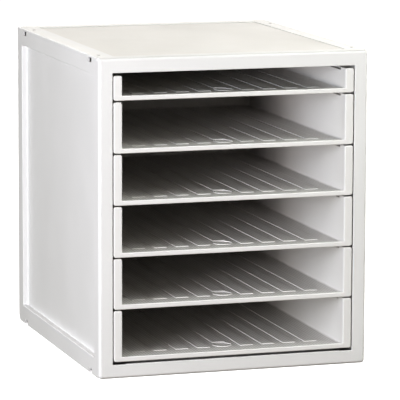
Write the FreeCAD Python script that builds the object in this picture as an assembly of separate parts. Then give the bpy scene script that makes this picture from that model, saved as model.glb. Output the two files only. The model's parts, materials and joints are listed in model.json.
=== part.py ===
import FreeCAD, Part
import os
from FreeCAD import Vector as V

# Open-tray drawer cabinet for paper: a white moulded casing with six sliding
# open-front trays, one shallow tray over five deep ones.
# Frame: +X to the right, +Y to the rear, +Z up. Origin at the centre of the
# footprint on the resting plane. All dimensions in millimetres.

# ---------------------------------------------------------------- dimensions
W = 281.0            # casing width
D = 320.0            # casing depth
H = 320.0            # casing height
SKIN = 2.0           # moulded wall of the casing
EDGE_R = 1.0         # rounding of the long outer edges of the panels
FOOT_R = 8.0         # rounding of the lower rear edge
HEAD_R = 1.5         # rounding of the upper rear edge
X1 = W / 2.0
Y0 = -D / 2.0        # front plane
Y1 = D / 2.0         # rear plane

FRAME_DEPTH = 8.0    # front frame, front to back
FRAME_CORNER_R = 3.6  # its four corners, seen from the front
FRAME_EDGE_R = 3.0   # rounding of its outer front edges
OPEN_X = 126.3       # half width of the front opening
OPEN_Z0 = 13.9       # lower edge of the front opening, at its two ends
SILL_X = 112.5       # between its ends the lower edge is raised a little
SILL_Z = 14.3
OPEN_Z1 = 305.0      # upper edge of the front opening

BAND = 19.0          # plain band round the sunk field of a side
FIELD_DEPTH = 5.8    # depth of the sunk field
FIELD_Z0 = 19.2
FIELD_Z1 = 301.9
FIELD_Y0 = Y0 + 19.0
FIELD_Y1 = Y0 + 301.5
RIM = 19.0           # rim along the sides and rear of the top
FRONT_RIM = 16.5     # rim along the front of the top
TOP_STEP = 0.5       # drop from the rim to the top field

SLOT_L = 12.0        # clip slots in the sides, front to back
SLOT_H = 4.6         # upper clip slots, their tops level with the rim's underside
NOTCH_H = 5.2        # lower clip notches, open at the bottom
NOTCH_X = 3.7        # depth of the lower clip notches
SLOT_Y = (Y0 + 26.5, Y0 + 282.5)
PEG_Y = (Y0 + 26.0, Y0 + 277.5)   # small peg slots in the top rim

PLATEAU_X = 112.5    # half width of the raised floor of the casing
PLATEAU_Z = 11.0

# tray number: bottom of the front lip, top of the lip, top of the front flange
TRAYS = {
    1: (277.60, 282.50, 302.25),
    2: (225.30, 230.15, 276.05),
    3: (173.50, 178.45, 224.00),
    4: (121.50, 126.40, 172.20),
    5: (69.35, 74.40, 120.20),
    6: (16.60, 21.60, 68.05),
}
TRAY_X = 116.8       # half width inside a tray
WALL = 2.3           # tray wall
FLANGE_X = 125.2     # half width over the front flange
FLANGE_IN = 116.5    # half width between the flange uprights
FLANGE_T = 3.0       # flange, front to back
FLANGE_R = 1.0       # rounding of the flange's front edges
TRAY_YI = Y0 + 301.0  # inner face of the tray's back wall
EAR_L = 15.5         # the side walls stand full height this far behind the front
EAR_H = 0.2          # top of that front part below the top of the flange
DROP = 3.2           # the rest of the walls below the top of the flange
RIM_X = 124.8        # half width over the tray's sliding rim
RIM_T = 2.0
STRIP_N = 4          # strips each side of the middle one
STRIP_P = 22.85      # pitch of the floor strips
STRIP_W = 13.3
STRIP_H = 0.65
STRIP_Y0 = Y0 + 28.5
STRIP_Y1 = Y0 + 290.0
RING_Y = Y0 + 37.5   # plain ring in front of the middle strip
RING_R = 10.0
RING_W = 1.3
TRAVEL = 240.0       # how far a tray slides out

RUN_IN = 121.0       # inner edge of a runner
RUN_WEB = 128.0      # inner face of a runner's web
RUN_OUT = X1 - FIELD_DEPTH - SKIN
RUN_GAP = 0.3        # clearance above and below the sliding rim
RUN_Y0 = Y0 + 8.5
RUN_Y1 = Y0 + 311.0
STOP_L = 6.0         # front stop of a runner
STOP_X = 125.6
LUG_X = 127.2        # half width over a tray's stop lugs
LUG_L = 8.0


# ------------------------------------------------------------------- helpers
def box(x0, x1, y0, y1, z0, z1):
    return Part.makeBox(x1 - x0, y1 - y0, z1 - z0, V(x0, y0, z0))


def near(a, b, t=1e-3):
    return abs(a - b) < t


def ends(e):
    return [v.Point for v in e.Vertexes]


def pick(shape, test):
    return [e for e in shape.Edges if e.Length > 1e-6 and test(e)]


def on(e, axis, val):
    b = e.BoundBox
    lo, hi = {"x": (b.XMin, b.XMax), "y": (b.YMin, b.YMax), "z": (b.ZMin, b.ZMax)}[axis]
    return abs(lo - val) < 1e-3 and abs(hi - val) < 1e-3


def along(e, axis):
    b = e.BoundBox
    d = {"x": (b.YLength, b.ZLength), "y": (b.XLength, b.ZLength), "z": (b.XLength, b.YLength)}[axis]
    return d[0] < 1e-3 and d[1] < 1e-3


def round_loop(pts, radii, y, depth):
    """A closed outline in the XZ plane with a radius at each corner, made thick along Y."""
    n = len(pts)
    starts, stops, arcs = [], [], []
    for i in range(n):
        p, q, r = V(pts[i - 1][0], y, pts[i - 1][1]), V(pts[i][0], y, pts[i][1]), V(pts[(i + 1) % n][0], y, pts[(i + 1) % n][1])
        a = (p - q).normalize()
        b = (r - q).normalize()
        rad = radii[i]
        s = q + a * rad
        t = q + b * rad
        c = q + (a + b) * rad
        m = c + (q - c).normalize() * rad
        starts.append(s)
        stops.append(t)
        arcs.append(Part.Arc(s, m, t).toShape())
    edges = []
    for i in range(n):
        edges.append(arcs[i])
        edges.append(Part.LineSegment(stops[i], starts[(i + 1) % n]).toShape())
    return Part.Face(Part.Wire(edges)).extrude(V(0, depth, 0))


def clean(shape):
    s = shape.removeSplitter()
    if len(s.Solids) == 1:
        s = s.Solids[0]
    return s


def write(name, shape):
    s = clean(shape)
    ok = s.isValid() and len(s.Solids) == 1
    print("%-20s solids %d valid %s volume %.1f cm3" % (name, len(s.Solids), s.isValid(), s.Volume / 1000.0))
    if not ok:
        print("  CHECK", name)
    s.exportStep("parts/%s.step" % name)
    return s


def mirror_x(shape):
    return shape.mirror(V(0, 0, 0), V(1, 0, 0))


os.makedirs("parts", exist_ok=True)

# --------------------------------------------------------------- front frame
# A thin front plate with a skirt behind its outer edge, open at the back.
outer = round_loop([(-X1, 0), (X1, 0), (X1, H), (-X1, H)], [FRAME_CORNER_R] * 4, Y0, FRAME_DEPTH)
outer = outer.makeFillet(FRAME_EDGE_R, pick(outer, lambda e: on(e, "y", Y0)))
pocket = box(-X1 + SKIN, X1 - SKIN, Y0 + SKIN, Y0 + FRAME_DEPTH + 1, SKIN, H - SKIN)
frame = outer.cut(pocket)
frame = frame.cut(box(-OPEN_X, OPEN_X, Y0 - 1, Y0 + FRAME_DEPTH + 1, OPEN_Z0, OPEN_Z1))
frame = frame.makeFillet(0.5, pick(frame, lambda e: on(e, "y", Y0) and e.BoundBox.XMin > -OPEN_X - 0.1
                                   and e.BoundBox.XMax < OPEN_X + 0.1
                                   and e.BoundBox.ZMin > OPEN_Z0 - 0.1 and e.BoundBox.ZMax < OPEN_Z1 + 0.1))
sill = box(-SILL_X, SILL_X, Y0, Y0 + SKIN, OPEN_Z0 - 3.0, SILL_Z)
sill = sill.makeFillet(0.5, pick(sill, lambda e: on(e, "z", SILL_Z) and on(e, "y", Y0)))
frame = frame.fuse(sill)
write("front_frame", frame)

# --------------------------------------------------------------- side panels
YS = Y0 + FRAME_DEPTH
def shell(x0, x1, y0, y1):
    """A rim-wide slab closed at the rear, its lower rear edge well rounded."""
    b = box(x0, x1, y0, y1, 0, H)
    b = b.makeFillet(FOOT_R, pick(b, lambda e: on(e, "y", y1) and on(e, "z", 0)))
    return b.makeFillet(HEAD_R, pick(b, lambda e: on(e, "y", y1) and on(e, "z", H)))


def hollow(x0, x1, y0, y1):
    """The space inside such a slab."""
    b = box(x0, x1, y0, y1 - SKIN, SKIN, H - SKIN)
    return b.makeFillet(FOOT_R - SKIN, pick(b, lambda e: on(e, "y", y1 - SKIN) and on(e, "z", SKIN)))


side = shell(-X1, -X1 + RIM, YS, Y1)
side = side.makeFillet(EDGE_R, pick(side, lambda e: on(e, "x", -X1) and not on(e, "y", YS)))
side = side.cut(hollow(-X1 + SKIN, -X1 + RIM + 1, YS - 1, Y1))
field_out = box(-X1, -X1 + FIELD_DEPTH + SKIN, FIELD_Y0 - SKIN, FIELD_Y1 + SKIN, FIELD_Z0 - SKIN, FIELD_Z1 + SKIN)
side = side.fuse(field_out)
field = box(-X1 - 5, -X1 + FIELD_DEPTH, FIELD_Y0, FIELD_Y1, FIELD_Z0, FIELD_Z1)
field = field.makeFillet(1.5, pick(field, lambda e: along(e, "x")))
field = field.makeFillet(0.8, pick(field, lambda e: on(e, "x", -X1 + FIELD_DEPTH)))
side = side.cut(field)
side = side.makeFillet(0.9, pick(side, lambda e: on(e, "x", -X1)
                                 and e.BoundBox.YMin > FIELD_Y0 - 0.1 and e.BoundBox.YMax < FIELD_Y1 + 0.1
                                 and e.BoundBox.ZMin > FIELD_Z0 - 0.1 and e.BoundBox.ZMax < FIELD_Z1 + 0.1))
for y in SLOT_Y:
    side = side.cut(box(-X1 - 1, -X1 + SKIN + 0.5, y, y + SLOT_L, H - SKIN - SLOT_H, H - SKIN))
    side = side.cut(box(-X1 - 1, -X1 + NOTCH_X, y, y + SLOT_L, -1, NOTCH_H))
for y in PEG_Y:
    side = side.cut(box(-X1 + 6.5, -X1 + 9.5, y, y + 5.0, H - SKIN - 1, H + 1))
left_side = write("left_side_panel", side)
write("right_side_panel", mirror_x(left_side))

# ---------------------------------------------------------------- back panel
XB = X1 - RIM
back = shell(-XB, XB, Y1 - RIM, Y1)
back = back.cut(hollow(-XB - 1, XB + 1, Y1 - RIM - 1, Y1))
bx = XB - 1.5
back = back.fuse(box(-bx, bx, Y1 - FIELD_DEPTH - SKIN, Y1, FIELD_Z0 - SKIN, FIELD_Z1 + SKIN))
bfield = box(-bx + SKIN, bx - SKIN, Y1 - FIELD_DEPTH, Y1 + 5, FIELD_Z0, FIELD_Z1)
bfield = bfield.makeFillet(1.5, pick(bfield, lambda e: along(e, "y")))
bfield = bfield.makeFillet(0.8, pick(bfield, lambda e: on(e, "y", Y1 - FIELD_DEPTH)))
back = back.cut(bfield)
back = back.makeFillet(0.9, pick(back, lambda e: on(e, "y", Y1)
                                 and e.BoundBox.XMin > -bx + SKIN - 0.1 and e.BoundBox.XMax < bx - SKIN + 0.1
                                 and e.BoundBox.ZMin > FIELD_Z0 - 0.1 and e.BoundBox.ZMax < FIELD_Z1 + 0.1))
write("back_panel", back)

# ----------------------------------------------------------------- top panel
# Sits between the side panels' rims; tongues along its sides lap under them.
LAP = 7.0
ZT = H - TOP_STEP
yt0, yt1 = YS, Y1 - RIM
top = box(-XB, XB, yt0, yt1, H - SKIN - 2.5, H)
top = top.fuse(box(-XB - LAP, XB + LAP, yt0 + 3, yt1, H - SKIN - 2.5, H - SKIN))
top = top.cut(box(-XB + 6, XB - 6, yt0 + 6, yt1 - 6, H - SKIN - 3.5, ZT - 2.5))
inset = box(-XB - 1, XB + 1, Y0 + FRONT_RIM, yt1 + 1, ZT, H + 1)
top = top.cut(inset)
top = top.makeFillet(0.4, pick(top, lambda e: on(e, "z", H) and on(e, "y", Y0 + FRONT_RIM)))
write("top_panel", top)

# -------------------------------------------------------------- bottom panel
# Raised floor on a skirt, open underneath, with flanges along its sides.
p = PLATEAU_X
yb0, yb1 = Y0 + SKIN + 2.5, Y1 - RIM
bottom = box(-p, p, yb0, yb1, SKIN + 0.1, PLATEAU_Z)
bottom = bottom.makeFillet(1.0, pick(bottom, lambda e: on(e, "z", PLATEAU_Z)))
bottom = bottom.cut(box(-p + SKIN, p - SKIN, yb0 + SKIN, yb1 - SKIN, 0, PLATEAU_Z - SKIN))
bottom = bottom.fuse(box(-p - 20, -p + SKIN, YS, yb1, SKIN, 2 * SKIN + 0.5))
bottom = bottom.fuse(box(p - SKIN, p + 20, YS, yb1, SKIN, 2 * SKIN + 0.5))
write("bottom_panel", bottom)


# --------------------------------------------------------------------- trays
def tray(z0, z1, z2):
    zf = z1 - 2.0                    # floor
    ox = TRAY_X + WALL
    oy = TRAY_YI + WALL
    top_z = z2 - DROP
    body = box(-ox, ox, Y0 + 2.0, oy, z0 + 0.4, top_z)
    body = body.makeFillet(3.0, pick(body, lambda e: (on(e, "z", z0 + 0.4) and not on(e, "y", Y0 + 2.0))
                                     or (along(e, "z") and on(e, "y", oy))))
    rim = box(-RIM_X, RIM_X, Y0 + 2.0, oy + 3.6, top_z - RIM_T, top_z)
    rim = rim.makeFillet(4.0, pick(rim, lambda e: along(e, "z") and on(e, "y", oy + 3.6)))
    rim = rim.makeFillet(0.5, pick(rim, lambda e: on(e, "z", top_z) and not on(e, "y", Y0 + 2.0)))
    body = body.fuse(rim)
    for s in (-1, 1):
        x0, x1 = sorted((s * (TRAY_X - 1.0), s * ox))
        body = body.fuse(box(x0, x1, Y0 + 2.0, Y0 + EAR_L, top_z - 5.0, z2 - EAR_H))
    # front flange: an open U with rounded corners
    pts = [(-FLANGE_X, z0), (FLANGE_X, z0), (FLANGE_X, z2), (FLANGE_IN, z2), (FLANGE_IN, z1),
           (-FLANGE_IN, z1), (-FLANGE_IN, z2), (-FLANGE_X, z2)]
    radii = [2.6, 2.6, 1.8, 2.0, 1.0, 1.0, 2.0, 1.8]
    flange = round_loop(pts, radii, Y0, FLANGE_T)
    flange = flange.makeFillet(FLANGE_R, pick(flange, lambda e: on(e, "y", Y0)))
    # hollow inside
    cav = box(-TRAY_X, TRAY_X, Y0 - 20, TRAY_YI, zf, z2 + 10)
    cav = cav.makeFillet(1.5, pick(cav, lambda e: (on(e, "z", zf) and not on(e, "y", Y0 - 20))
                                   or (along(e, "z") and on(e, "y", TRAY_YI))))
    body = body.cut(cav)
    body = body.fuse(flange)
    # stop lugs on the sliding rim
    ly = RUN_Y0 + STOP_L + TRAVEL + 0.3
    for s in (-1, 1):
        x0, x1 = sorted((s * (RIM_X - 1.0), s * LUG_X))
        body = body.fuse(box(x0, x1, ly, ly + LUG_L, top_z - RIM_T, top_z))
    # raised strips, run front to back
    parts = []
    for k in range(-STRIP_N, STRIP_N + 1):
        ys = STRIP_Y0 if k else Y0 + 50.5
        s = box(k * STRIP_P - STRIP_W / 2, k * STRIP_P + STRIP_W / 2, ys, STRIP_Y1, zf - 0.4, zf + STRIP_H)
        s = s.makeFillet(0.3, pick(s, lambda e: on(e, "z", zf + STRIP_H)))
        parts.append(s)
    ring = Part.makeCylinder(RING_R, STRIP_H + 0.4, V(0, RING_Y, zf - 0.4)).cut(
        Part.makeCylinder(RING_R - RING_W, 4, V(0, RING_Y, zf - 1)))
    ring = ring.makeFillet(0.3, pick(ring, lambda e: on(e, "z", zf + STRIP_H) and e.Length > 20))
    parts.append(ring)
    return body.fuse(parts)


for n in sorted(TRAYS):
    write("tray_%d" % n, tray(*TRAYS[n]))


# ------------------------------------------------------------------- runners
# C-section rails on the inner faces of the side panels, one pair to a tray.
def runner(z2):
    top_z = z2 - DROP
    zl = top_z - RIM_T - RUN_GAP
    zg = top_z + RUN_GAP
    r = box(-RUN_OUT, -RUN_WEB, RUN_Y0, RUN_Y1, zl - 2.5, zg + 1.5)
    r = r.fuse(box(-RUN_WEB - 0.5, -RUN_IN, RUN_Y0, RUN_Y1, zl - 2.5, zl))
    r = r.fuse(box(-RUN_WEB - 0.5, -RUN_IN, RUN_Y0, RUN_Y1, zg, zg + 1.5))
    r = r.fuse(box(-RUN_WEB - 0.5, -STOP_X, RUN_Y0, RUN_Y0 + STOP_L, zl - 0.5, zg + 0.5))
    r = r.fuse(box(-RUN_WEB - 0.5, -RUN_IN, RUN_Y1 - 3.6, RUN_Y1, zl - 0.5, zg + 0.5))
    return r


for n in sorted(TRAYS):
    left = write("left_runner_%d" % n, runner(TRAYS[n][2]))
    write("right_runner_%d" % n, mirror_x(left))
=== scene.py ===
import json
import math

import bpy
from mathutils import Matrix, Vector

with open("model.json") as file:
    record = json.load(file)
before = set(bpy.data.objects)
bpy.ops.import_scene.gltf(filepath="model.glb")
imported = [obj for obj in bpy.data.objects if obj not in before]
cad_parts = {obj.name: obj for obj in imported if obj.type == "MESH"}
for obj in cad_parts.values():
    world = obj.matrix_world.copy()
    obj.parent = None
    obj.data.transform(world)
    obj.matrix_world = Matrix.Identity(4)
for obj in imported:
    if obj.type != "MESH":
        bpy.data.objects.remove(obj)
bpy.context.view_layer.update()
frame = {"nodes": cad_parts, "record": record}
nodes = frame["nodes"]
scene = bpy.context.scene


# ------------------------------------------------------------------ node tools
def new_material(name):
    m = bpy.data.materials.new(name)
    m.use_nodes = True
    t = m.node_tree
    t.nodes.clear()
    out = t.nodes.new("ShaderNodeOutputMaterial")
    bsdf = t.nodes.new("ShaderNodeBsdfPrincipled")
    t.links.new(bsdf.outputs["BSDF"], out.inputs["Surface"])
    return m, t, bsdf


def noise(t, coord, scale, detail=2.0, rough=0.5, dist=0.0):
    n = t.nodes.new("ShaderNodeTexNoise")
    n.inputs["Scale"].default_value = scale
    n.inputs["Detail"].default_value = detail
    n.inputs["Roughness"].default_value = rough
    n.inputs["Distortion"].default_value = dist
    t.links.new(coord, n.inputs["Vector"])
    return n


def ramp(t, fac, stops):
    r = t.nodes.new("ShaderNodeValToRGB")
    e = r.color_ramp.elements
    e[0].position, e[0].color = stops[0][0], (*stops[0][1], 1)
    e[1].position, e[1].color = stops[-1][0], (*stops[-1][1], 1)
    for p, c in stops[1:-1]:
        k = e.new(p)
        k.color = (*c, 1)
    t.links.new(fac, r.inputs["Fac"])
    return r


def span(t, fac, lo, hi):
    m = t.nodes.new("ShaderNodeMapRange")
    m.inputs["To Min"].default_value = lo
    m.inputs["To Max"].default_value = hi
    t.links.new(fac, m.inputs["Value"])
    return m


def math_node(t, op, a, b=None):
    m = t.nodes.new("ShaderNodeMath")
    m.operation = op
    for socket, v in zip(m.inputs, (a, b)):
        if isinstance(v, (int, float)):
            socket.default_value = v
        elif v is not None:
            t.links.new(v, socket)
    return m.outputs[0]


def bands(t, coord, direction, pitch):
    w = t.nodes.new("ShaderNodeTexWave")
    w.wave_type = "BANDS"
    w.bands_direction = direction
    w.wave_profile = "SIN"
    w.inputs["Scale"].default_value = math.pi / 10 / pitch
    w.inputs["Distortion"].default_value = 0.0
    t.links.new(coord, w.inputs["Vector"])
    return w.outputs["Fac"]


def stretched(t, coord, scale, stretch):
    """A noise drawn out along one axis, for rub marks and flow lines."""
    mp = t.nodes.new("ShaderNodeMapping")
    mp.inputs["Scale"].default_value = stretch
    t.links.new(coord, mp.inputs["Vector"])
    return noise(t, mp.outputs["Vector"], scale, 3.0, 0.6).outputs["Fac"]


def bump(t, height, distance, below=None):
    b = t.nodes.new("ShaderNodeBump")
    b.inputs["Strength"].default_value = 1.0
    b.inputs["Distance"].default_value = distance
    t.links.new(height, b.inputs["Height"])
    if below is not None:
        t.links.new(below, b.inputs["Normal"])
    return b.outputs["Normal"]


def blend(t, fac, a, colour):
    """Mix colour a towards a fixed colour by a factor, darker or lighter; used for a second tone and for
    painted shade and painted highlights.
    """
    m = t.nodes.new("ShaderNodeMix")
    m.data_type = "RGBA"
    ins = {i.identifier: i for i in m.inputs}
    t.links.new(fac, ins["Factor_Float"])
    t.links.new(a, ins["A_Color"])
    ins["B_Color"].default_value = (*colour, 1)
    return [o for o in m.outputs if o.identifier == "Result_Color"][0]


def plastic(name, light, dark, rough, grain=0.00002, grain_scale=1600.0, spec=0.5, rub=None,
            two_tone_and_painted_shade=None, floor_hatch_and_painted_shade=None):
    """White moulded plastic: faint cloudy tone, uneven gloss with rub marks, fine moulded grain and a long
    soft waviness; optionally a second tone by position (painted shade on the tray insides) and a tray-floor
    hatch with painted shade in its grooves and painted highlights on the strip ends.
    """
    m, t, b = new_material(name)
    tex = t.nodes.new("ShaderNodeTexCoord")
    co = tex.outputs["Object"]
    cloud = noise(t, co, 9.0, 3.0, 0.55)
    colour = ramp(t, cloud.outputs["Fac"], [(0.32, dark), (0.68, light)]).outputs["Color"]
    gloss = noise(t, co, 34.0, 4.0, 0.6).outputs["Fac"]
    rough_value = span(t, gloss, rough - 0.05, rough + 0.06).outputs["Result"]
    if rub:
        marks = stretched(t, co, 60.0, rub)
        rough_value = math_node(t, "ADD", rough_value, span(t, marks, -0.06, 0.06).outputs["Result"])
    normal = bump(t, noise(t, co, 14.0, 1.0, 0.4).outputs["Fac"], 0.0012)
    normal = bump(t, noise(t, co, grain_scale, 2.0, 0.6).outputs["Fac"], grain, normal)
    pos = t.nodes.new("ShaderNodeSeparateXYZ")
    t.links.new(co, pos.inputs[0])
    # second tone by position: a real two-tone on the lid; on the trays the darker, warmer inside is painted
    # shade
    if two_tone_and_painted_shade:
        axis, op, edge, tone = two_tone_and_painted_shade
        colour = blend(t, math_node(t, op, pos.outputs[axis], edge), colour, tone)
    if floor_hatch_and_painted_shade:
        pitch, depth, ridge_painted_light, groove_painted_shade = floor_hatch_and_painted_shade
        grid = math_node(t, "MAXIMUM", bands(t, co, "X", pitch), bands(t, co, "Y", pitch))
        nor = t.nodes.new("ShaderNodeSeparateXYZ")
        t.links.new(tex.outputs["Normal"], nor.inputs[0])
        level = math_node(t, "GREATER_THAN", nor.outputs["Z"], 0.9)
        inside = math_node(t, "LESS_THAN", math_node(t, "ABSOLUTE", pos.outputs["X"]), 0.1155)
        behind = math_node(t, "GREATER_THAN", pos.outputs["Y"], -0.1565)
        mask = math_node(t, "MULTIPLY", level, math_node(t, "MULTIPLY", inside, behind))
        normal = bump(t, math_node(t, "MULTIPLY", grid, mask), depth, normal)
        # the hatch colour is painted: lighter ridges are painted light, darker grooves are painted shade,
        # on top of the real bump
        low = math_node(t, "MULTIPLY", math_node(t, "SUBTRACT", 1.0, grid), mask)
        colour = blend(t, math_node(t, "MULTIPLY", grid, mask), colour, ridge_painted_light)
        colour = blend(t, low, colour, groove_painted_shade)
        # the front ends of the raised strips get a painted highlight: their colour is lightened where they
        # face the front
        strip_end_painted_highlight = math_node(t, "MULTIPLY", math_node(t, "LESS_THAN", nor.outputs["Y"], -0.6),
                           math_node(t, "MULTIPLY", inside,
                                     math_node(t, "MULTIPLY", behind, math_node(t, "LESS_THAN", pos.outputs["Y"], -0.1085))))
        colour = blend(t, strip_end_painted_highlight, colour, (0.93, 0.92, 0.905))
        rough_value = math_node(t, "ADD", rough_value, span(t, mask, 0.0, 0.12).outputs["Result"])
    t.links.new(colour, b.inputs["Base Color"])
    t.links.new(rough_value, b.inputs["Roughness"])
    t.links.new(normal, b.inputs["Normal"])
    b.inputs["IOR"].default_value = 1.49
    b.inputs["Specular IOR Level"].default_value = spec
    return m


casing = plastic("casing_plastic", (0.865, 0.862, 0.858), (0.845, 0.842, 0.838), 0.34, rub=(1.0, 1.0, 0.08))
lid = plastic("lid_plastic", (0.800, 0.784, 0.750), (0.780, 0.764, 0.730), 0.38, rub=(0.3, 0.12, 1.0),
              two_tone_and_painted_shade=("Z", "GREATER_THAN", 0.3197, (0.858, 0.852, 0.838)))
# tray colour: darker and warmer inside than on its front faces (y < -0.1569), painted shade in the drawers;
# the floor hatch adds painted shade in its grooves
tray = plastic("tray_plastic_painted_shade_inside", (0.795, 0.782, 0.764), (0.775, 0.762, 0.744), 0.34, grain=0.000008,
               rub=(1.0, 0.05, 1.0), two_tone_and_painted_shade=("Y", "LESS_THAN", -0.1569, (0.868, 0.860, 0.848)),
               floor_hatch_and_painted_shade=(0.003, 0.00016, (0.89, 0.876, 0.856), (0.50, 0.489, 0.474)))
runner = plastic("runner_plastic", (0.600, 0.598, 0.585), (0.560, 0.558, 0.545), 0.45, rub=(1.0, 0.03, 1.0))

by_slot = {"casing": casing, "lid": lid, "tray": tray, "runner": runner}
slot_of = {s["node"]: s["material_slot"] for s in frame["record"]["subparts"]}
for name, o in nodes.items():
    mat = by_slot[slot_of[name]]
    if not o.material_slots:
        o.data.materials.append(mat)
    for s in o.material_slots:
        s.material = mat

# ------------------------------------------------------------------- the stage
bpy.ops.mesh.primitive_plane_add(size=40.0, location=(0, 0, 0))
floor = bpy.context.object
floor.name = "floor"
fm, ft, fb = new_material("floor_paper")
fco = ft.nodes.new("ShaderNodeTexCoord").outputs["Object"]
fn = noise(ft, fco, 3.0, 2.0)
fr = ramp(ft, fn.outputs["Fac"], [(0.3, (0.93, 0.93, 0.93)), (0.7, (0.95, 0.95, 0.95))])
ft.links.new(fr.outputs["Color"], fb.inputs["Base Color"])
fb.inputs["Roughness"].default_value = 0.9
fb.inputs["Specular IOR Level"].default_value = 0.0
fb.inputs["Emission Color"].default_value = (1.0, 1.0, 1.0, 1.0)
fb.inputs["Emission Strength"].default_value = 0.95
floor.data.materials.append(fm)
floor.visible_diffuse = False
floor.visible_glossy = False

world = bpy.data.worlds.new("studio")
scene.world = world
world.use_nodes = True
world.node_tree.nodes["Background"].inputs["Color"].default_value = (1, 0.855, 0.598, 1)
world.node_tree.nodes["Background"].inputs["Strength"].default_value = 0.1255


def area(name, loc, aim, size, power, color=(1, 1, 1)):
    d = bpy.data.lights.new(name, "AREA")
    d.shape = "RECTANGLE"
    d.size, d.size_y = size
    d.energy = power
    d.color = color
    o = bpy.data.objects.new(name, d)
    scene.collection.objects.link(o)
    o.location = loc
    o.rotation_euler = (Vector(aim) - Vector(loc)).to_track_quat("-Z", "Y").to_euler()
    return o


def soft(name, az, el, dist, w, h, power, color=(1, 1, 1), aim=(0, 0, 0.16)):
    """A soft light panel; az is turned from the front towards the left, el is above the desk."""
    a, e = math.radians(az), math.radians(el)
    loc = Vector(aim) + Vector((-math.sin(a) * math.cos(e), -math.cos(a) * math.cos(e), math.sin(e))) * dist
    return area(name, loc, aim, (w, h), power, color)


soft("front_right", -15, 40, 2.8, 1, 1, 3.68, (0.869, 0.869, 1))
soft("backdrop", 180, 22, 3, 4, 1.6, 47.63, (1, 0.985, 0.982))
soft("backdrop_low", 180, 8, 3, 3, 0.5, 0.45, (1, 0.869, 0.869))
soft("left_low", 55, 1, 2.8, 0.8, 0.3, 7.60, (0.869, 0.92, 1))
soft("left_mid", 55, 7, 2.8, 0.8, 0.45, 20.94, (0.869, 0.958, 1))
soft("side", 70, 7, 2.8, 0.8, 0.45, 7.72, (0.869, 1, 1))
soft("left_near", 50, 0, 1.05, 0.35, 0.12, 1.18, (0.978, 0.869, 1), aim=(0, -0.1, 0.28))
soft("left_near_high", 50, 0, 1.05, 0.35, 0.12, 0.88, (0.869, 0.869, 1), aim=(0, -0.1, 0.4))
soft("side_near", 64, 0, 1.05, 0.35, 0.12, 1.99, (0.869, 0.869, 1), aim=(0, -0.1, 0.4))
soft("left_middle_top", 48, 0, 2.2, 0.5, 0.1, 14.10, (1, 0.941, 0.901), aim=(0, -0.1, 0.27))
soft("right_near_high", -35, 45, 1.2, 0.6, 0.6, 5.28, (0.956, 1, 0.935))
soft("right_near", -60, 20, 1.2, 0.6, 0.6, 3.40, (0.963, 0.976, 1))
# these two stay below the level of the top, and reach only the right side and the back
soft("fill_right", -100, 0, 2.8, 1.2, 0.25, 30.0)
soft("fill_back", -157, 0, 2.8, 0.9, 0.25, 34.0)

# ------------------------------------------------------------------ the camera
cam = bpy.data.cameras.new("camera")
cam.sensor_width = 36.0
cam.lens = 273.904
cam.clip_end = 100
camo = bpy.data.objects.new("camera", cam)
scene.collection.objects.link(camo)
right = Vector((0.9526940, -0.3039103, 0.0035565))
down = Vector((-0.0445539, -0.1512233, -0.9874951))
fwd = Vector((0.3006478, 0.9406222, -0.1576099))
camo.matrix_world = Matrix((
    (right.x, -down.x, -fwd.x, -0.9437527),
    (right.y, -down.y, -fwd.y, -2.9989904),
    (right.z, -down.z, -fwd.z, 0.6514858),
    (0, 0, 0, 1)))
scene.camera = camo
scene.view_settings.view_transform = "Standard"
scene.view_settings.gamma = 1 / 1.2
